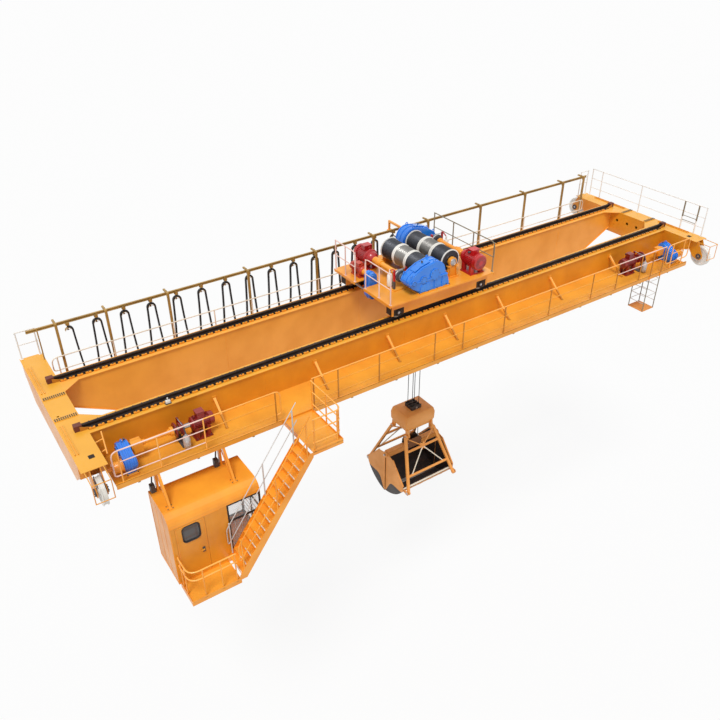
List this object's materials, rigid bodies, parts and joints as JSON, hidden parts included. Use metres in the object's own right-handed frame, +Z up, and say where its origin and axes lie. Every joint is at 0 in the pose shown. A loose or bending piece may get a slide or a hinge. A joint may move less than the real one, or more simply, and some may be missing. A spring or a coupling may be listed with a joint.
{
  "type": "grab bridge crane",
  "caption": "Double girder overhead travelling crane with a grab trolley, a four-rope clamshell grab, a hanging driver's cab, walkways, a stair and a cable festoon.",
  "frame": {"origin": "underside of the left end carriage, midway between the girders", "axes": "+X along the span to the right end carriage, +Y to the rear festoon side, +Z up"},
  "size_m": [23.12, 7.7099, 9.97],
  "materials": {
    "crane_paint": "gloss crane yellow enamel",
    "rail_steel": "dark rolled rail steel",
    "handrail_paint": "pale yellow gloss enamel",
    "gear_blue": "blue gloss enamel on castings",
    "motor_red": "red gloss enamel on ribbed castings",
    "brake_grey": "dark grey enamel",
    "drum_steel": "grooved dark steel",
    "wheel_steel": "machined and rolled bright",
    "wire_rope": "greased wire rope",
    "festoon_steel": "olive beige enamel",
    "cable_rubber": "black rubber sheath",
    "grab_steel": "worn dark plate",
    "window_frame": "black window frames",
    "cab_glass": "clear tinted glass"
  },
  "bodies": {
    "bridge": {"front_girder": "crane_paint", "rear_girder": "crane_paint", "trolley_rails": "rail_steel", "left_end_carriage": "crane_paint", "right_end_carriage": "crane_paint", "walkways": "crane_paint", "walkway_handrails": "handrail_paint", "end_handrails": "handrail_paint", "landings": "crane_paint", "stair": "crane_paint", "stair_handrails": "handrail_paint", "cab_hangers": "crane_paint", "cab_floor": "crane_paint", "cab_roof": "crane_paint", "cab_walls": "crane_paint", "cab_glazing": "window_frame", "service_cage": "handrail_paint", "festoon_track": "festoon_steel", "festoon_cables": "cable_rubber", "travel_gearboxes": "gear_blue", "travel_motors": "motor_red", "drive_shafts": "crane_paint"},
    "cab_door": {"cab_door": "crane_paint", "door_window": "cab_glass"},
    "wheel_left_front": {"wheel_left_front": "wheel_steel"},
    "wheel_left_rear": {"wheel_left_rear": "wheel_steel"},
    "wheel_right_front": {"wheel_right_front": "wheel_steel"},
    "wheel_right_rear": {"wheel_right_rear": "wheel_steel"},
    "trolley": {"trolley_frame": "crane_paint", "hoist_gearboxes": "gear_blue", "hoist_motors": "motor_red", "hoist_brakes": "brake_grey", "trolley_drive": "gear_blue", "trolley_handrails": "handrail_paint", "hoist_ropes": "wire_rope"},
    "holding_drum": {"holding_drum": "drum_steel"},
    "closing_drum": {"closing_drum": "drum_steel"},
    "trolley_axle_left": {"trolley_axle_left": "wheel_steel"},
    "trolley_axle_right": {"trolley_axle_right": "wheel_steel"},
    "grab_head": {"grab_head": "crane_paint", "closing_ropes": "wire_rope"},
    "grab_block": {"grab_block": "grab_steel"},
    "grab_shell_front": {"grab_shell_front": "grab_steel"},
    "grab_shell_rear": {"grab_shell_rear": "grab_steel"},
    "grab_arm_front": {"grab_arm_front": "crane_paint"},
    "grab_arm_rear": {"grab_arm_rear": "crane_paint"},
    "festoon_carrier_1": {"festoon_carrier_1": "festoon_steel"},
    "festoon_carrier_2": {"festoon_carrier_2": "festoon_steel"},
    "festoon_carrier_3": {"festoon_carrier_3": "festoon_steel"},
    "festoon_carrier_4": {"festoon_carrier_4": "festoon_steel"},
    "festoon_carrier_5": {"festoon_carrier_5": "festoon_steel"},
    "festoon_carrier_6": {"festoon_carrier_6": "festoon_steel"},
    "festoon_carrier_7": {"festoon_carrier_7": "festoon_steel"},
    "festoon_carrier_8": {"festoon_carrier_8": "festoon_steel"},
    "festoon_carrier_9": {"festoon_carrier_9": "festoon_steel"},
    "festoon_carrier_10": {"festoon_carrier_10": "festoon_steel"},
    "festoon_carrier_11": {"festoon_carrier_11": "festoon_steel"},
    "festoon_carrier_12": {"festoon_carrier_12": "festoon_steel"},
    "festoon_carrier_13": {"festoon_carrier_13": "festoon_steel"},
    "festoon_carrier_14": {"festoon_carrier_14": "festoon_steel"}
  },
  "joints": [
    {"name": "cab_door_hinge", "type": "hinge", "parent": "bridge", "child": "cab_door", "pos_m": [1.33, -3.522, -2], "axis": [0, 0, 1], "range_deg": [0, 90]},
    {"name": "wheel_left_front_spin", "type": "hinge", "parent": "bridge", "child": "wheel_left_front", "pos_m": [0, -3.02, 0.33], "axis": [1, 0, 0], "continuous": true},
    {"name": "wheel_left_rear_spin", "type": "hinge", "parent": "bridge", "child": "wheel_left_rear", "pos_m": [0, 3.02, 0.33], "axis": [1, 0, 0], "continuous": true},
    {"name": "wheel_right_front_spin", "type": "hinge", "parent": "bridge", "child": "wheel_right_front", "pos_m": [22.5, -3.02, 0.33], "axis": [1, 0, 0], "continuous": true},
    {"name": "wheel_right_rear_spin", "type": "hinge", "parent": "bridge", "child": "wheel_right_rear", "pos_m": [22.5, 3.02, 0.33], "axis": [1, 0, 0], "continuous": true},
    {"name": "trolley_travel", "type": "slide", "parent": "bridge", "child": "trolley", "axis": [1, 0, 0], "range_m": [-7.1, 8.2], "deforming": ["festoon_cables"]},
    {"name": "trolley_axle_left_spin", "type": "hinge", "parent": "trolley", "child": "trolley_axle_left", "pos_m": [9.73, 0, 1.2053], "axis": [0, 1, 0], "range_deg": [-2800, 2800]},
    {"name": "trolley_axle_right_spin", "type": "hinge", "parent": "trolley", "child": "trolley_axle_right", "pos_m": [13, 0, 1.2053], "axis": [0, 1, 0], "range_deg": [-2800, 2800]},
    {"name": "hoist", "type": "slide", "parent": "trolley", "child": "grab_head", "axis": [0, 0, 1], "range_m": [-6, 2.3], "deforming": ["hoist_ropes"]},
    {"name": "holding_drum_turn", "type": "hinge", "parent": "trolley", "child": "holding_drum", "pos_m": [11.05, 0, 2.12], "axis": [0, 1, 0], "range_deg": [-400, 1040]},
    {"name": "closing_drum_turn", "type": "hinge", "parent": "trolley", "child": "closing_drum", "pos_m": [12.05, 0, 2.12], "axis": [0, 1, 0], "range_deg": [-1040, 400]},
    {"name": "grab_opening", "type": "slide", "parent": "grab_head", "child": "grab_block", "axis": [0, 0, -1], "range_m": [0, 0.9], "deforming": ["closing_ropes"]},
    {"name": "grab_shell_rear_hinge", "type": "hinge", "parent": "grab_block", "child": "grab_shell_rear", "pos_m": [11.55, 0, -5.6], "axis": [1, 0, 0], "range_deg": [0, 43]},
    {"name": "grab_arm_rear_hinge", "type": "hinge", "parent": "grab_head", "child": "grab_arm_rear", "pos_m": [11.55, 0.43, -4.77], "axis": [1, 0, 0], "range_deg": [0, 12]},
    {"name": "grab_shell_front_hinge", "type": "hinge", "parent": "grab_block", "child": "grab_shell_front", "pos_m": [11.55, 0, -5.6], "axis": [-1, 0, 0], "range_deg": [0, 43]},
    {"name": "grab_arm_front_hinge", "type": "hinge", "parent": "grab_head", "child": "grab_arm_front", "pos_m": [11.55, -0.43, -4.77], "axis": [-1, 0, 0], "range_deg": [0, 12]},
    {"name": "festoon_carrier_1_slide", "type": "slide", "parent": "bridge", "child": "festoon_carrier_1", "axis": [1, 0, 0], "range_m": [-0.61, 0.6]},
    {"name": "festoon_carrier_2_slide", "type": "slide", "parent": "festoon_carrier_1", "child": "festoon_carrier_2", "axis": [1, 0, 0], "range_m": [-0.61, 0.6]},
    {"name": "festoon_carrier_3_slide", "type": "slide", "parent": "festoon_carrier_2", "child": "festoon_carrier_3", "axis": [1, 0, 0], "range_m": [-0.61, 0.6]},
    {"name": "festoon_carrier_4_slide", "type": "slide", "parent": "festoon_carrier_3", "child": "festoon_carrier_4", "axis": [1, 0, 0], "range_m": [-0.61, 0.6]},
    {"name": "festoon_carrier_5_slide", "type": "slide", "parent": "festoon_carrier_4", "child": "festoon_carrier_5", "axis": [1, 0, 0], "range_m": [-0.61, 0.6]},
    {"name": "festoon_carrier_6_slide", "type": "slide", "parent": "festoon_carrier_5", "child": "festoon_carrier_6", "axis": [1, 0, 0], "range_m": [-0.61, 0.6]},
    {"name": "festoon_carrier_7_slide", "type": "slide", "parent": "festoon_carrier_6", "child": "festoon_carrier_7", "axis": [1, 0, 0], "range_m": [-0.61, 0.6]},
    {"name": "festoon_carrier_8_slide", "type": "slide", "parent": "festoon_carrier_7", "child": "festoon_carrier_8", "axis": [1, 0, 0], "range_m": [-0.61, 0.6]},
    {"name": "festoon_carrier_9_slide", "type": "slide", "parent": "festoon_carrier_8", "child": "festoon_carrier_9", "axis": [1, 0, 0], "range_m": [-0.61, 0.6]},
    {"name": "festoon_carrier_10_slide", "type": "slide", "parent": "festoon_carrier_9", "child": "festoon_carrier_10", "axis": [1, 0, 0], "range_m": [-0.61, 0.6]},
    {"name": "festoon_carrier_11_slide", "type": "slide", "parent": "festoon_carrier_10", "child": "festoon_carrier_11", "axis": [1, 0, 0], "range_m": [-0.61, 0.6]},
    {"name": "festoon_carrier_12_slide", "type": "slide", "parent": "festoon_carrier_11", "child": "festoon_carrier_12", "axis": [1, 0, 0], "range_m": [-0.61, 0.6]},
    {"name": "festoon_carrier_13_slide", "type": "slide", "parent": "festoon_carrier_12", "child": "festoon_carrier_13", "axis": [1, 0, 0], "range_m": [-0.61, 0.6]},
    {"name": "festoon_carrier_14_slide", "type": "slide", "parent": "festoon_carrier_13", "child": "festoon_carrier_14", "axis": [1, 0, 0], "range_m": [-0.61, 0.6]}
  ],
  "couplings": [
    {"joint": "trolley_axle_left_spin", "follows": "trolley_travel", "rad_per_m": 5.7143},
    {"joint": "trolley_axle_right_spin", "follows": "trolley_travel", "rad_per_m": 5.7143},
    {"joint": "holding_drum_turn", "follows": "hoist", "rad_per_m": -2.9412},
    {"joint": "closing_drum_turn", "follows": "hoist", "rad_per_m": 2.9412},
    {"joint": "grab_shell_rear_hinge", "follows": "grab_opening", "rad_per_m": 0.82028},
    {"joint": "grab_arm_rear_hinge", "follows": "grab_opening", "rad_per_m": 0.22885},
    {"joint": "grab_shell_front_hinge", "follows": "grab_opening", "rad_per_m": 0.82028},
    {"joint": "grab_arm_front_hinge", "follows": "grab_opening", "rad_per_m": 0.22885},
    {"joint": "festoon_carrier_1_slide", "follows": "trolley_travel", "ratio": 0.071429},
    {"joint": "festoon_carrier_2_slide", "follows": "trolley_travel", "ratio": 0.071429},
    {"joint": "festoon_carrier_3_slide", "follows": "trolley_travel", "ratio": 0.071429},
    {"joint": "festoon_carrier_4_slide", "follows": "trolley_travel", "ratio": 0.071429},
    {"joint": "festoon_carrier_5_slide", "follows": "trolley_travel", "ratio": 0.071429},
    {"joint": "festoon_carrier_6_slide", "follows": "trolley_travel", "ratio": 0.071429},
    {"joint": "festoon_carrier_7_slide", "follows": "trolley_travel", "ratio": 0.071429},
    {"joint": "festoon_carrier_8_slide", "follows": "trolley_travel", "ratio": 0.071429},
    {"joint": "festoon_carrier_9_slide", "follows": "trolley_travel", "ratio": 0.071429},
    {"joint": "festoon_carrier_10_slide", "follows": "trolley_travel", "ratio": 0.071429},
    {"joint": "festoon_carrier_11_slide", "follows": "trolley_travel", "ratio": 0.071429},
    {"joint": "festoon_carrier_12_slide", "follows": "trolley_travel", "ratio": 0.071429},
    {"joint": "festoon_carrier_13_slide", "follows": "trolley_travel", "ratio": 0.071429},
    {"joint": "festoon_carrier_14_slide", "follows": "trolley_travel", "ratio": 0.071429}
  ]
}
